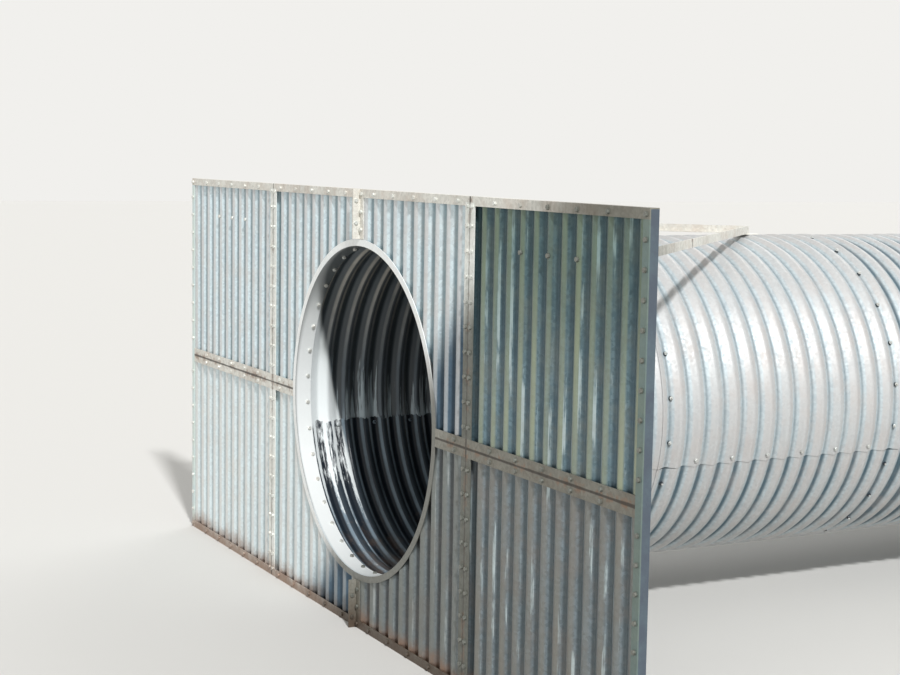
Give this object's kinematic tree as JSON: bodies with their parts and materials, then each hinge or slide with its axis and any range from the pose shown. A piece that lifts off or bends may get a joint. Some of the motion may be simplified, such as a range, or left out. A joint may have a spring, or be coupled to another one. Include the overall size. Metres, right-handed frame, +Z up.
{
  "type": "corrugated metal pipe culvert with headwalls",
  "caption": "Round corrugated steel pipe culvert of bolted upper and lower plates, with a framed corrugated headwall and collar at each end and tie-back struts.",
  "frame": {"origin": "centre of the bounding box's bottom face: under the middle of the pipe, on the ground", "axes": "+Y along the pipe from the inlet wall to the outlet wall, +X across the walls, +Z up"},
  "size_m": [4.6, 6.1246, 2],
  "materials": {
    "galvanised_sheet": "hot-dip galvanised, weathered and mud-stained",
    "galvanised_angle": "hot-dip galvanised rolled angle, dusty",
    "galvanised_collar": "hot-dip galvanised, fairly clean",
    "galvanised_pipe": "hot-dip galvanised, bare inside the upper plates",
    "coated_pipe": "galvanised outside, glossy black bitumen coating inside the lower plates"
  },
  "bodies": {
    "root": {"inlet_cap_angles": "galvanised_angle", "inlet_collar": "galvanised_collar", "inlet_edge_angles": "galvanised_angle", "inlet_foot_angles": "galvanised_angle", "inlet_joint_angles": "galvanised_angle", "inlet_lap_angles": "galvanised_angle", "inlet_lower_inner_sheet_left": "galvanised_sheet", "inlet_lower_inner_sheet_right": "galvanised_sheet", "inlet_lower_outer_sheet_left": "galvanised_sheet", "inlet_lower_outer_sheet_right": "galvanised_sheet", "inlet_lower_walers": "galvanised_angle", "inlet_rear_stiffeners": "galvanised_angle", "inlet_tie_bracket": "galvanised_angle", "inlet_tie_struts": "galvanised_angle", "inlet_upper_inner_sheet_left": "galvanised_sheet", "inlet_upper_inner_sheet_right": "galvanised_sheet", "inlet_upper_outer_sheet_left": "galvanised_sheet", "inlet_upper_outer_sheet_right": "galvanised_sheet", "inlet_upper_walers": "galvanised_angle", "outlet_cap_angles": "galvanised_angle", "outlet_collar": "galvanised_collar", "outlet_edge_angles": "galvanised_angle", "outlet_foot_angles": "galvanised_angle", "outlet_joint_angles": "galvanised_angle", "outlet_lap_angles": "galvanised_angle", "outlet_lower_inner_sheet_left": "galvanised_sheet", "outlet_lower_inner_sheet_right": "galvanised_sheet", "outlet_lower_outer_sheet_left": "galvanised_sheet", "outlet_lower_outer_sheet_right": "galvanised_sheet", "outlet_lower_walers": "galvanised_angle", "outlet_rear_stiffeners": "galvanised_angle", "outlet_tie_bracket": "galvanised_angle", "outlet_tie_struts": "galvanised_angle", "outlet_upper_inner_sheet_left": "galvanised_sheet", "outlet_upper_inner_sheet_right": "galvanised_sheet", "outlet_upper_outer_sheet_left": "galvanised_sheet", "outlet_upper_outer_sheet_right": "galvanised_sheet", "outlet_upper_walers": "galvanised_angle", "pipe_ring_1_lower": "coated_pipe", "pipe_ring_1_upper": "galvanised_pipe", "pipe_ring_2_lower": "coated_pipe", "pipe_ring_2_upper": "galvanised_pipe", "pipe_ring_3_lower": "coated_pipe", "pipe_ring_3_upper": "galvanised_pipe", "pipe_ring_4_lower": "coated_pipe", "pipe_ring_4_upper": "galvanised_pipe", "pipe_ring_5_lower": "coated_pipe", "pipe_ring_5_upper": "galvanised_pipe"}
  },
  "joints": []
}
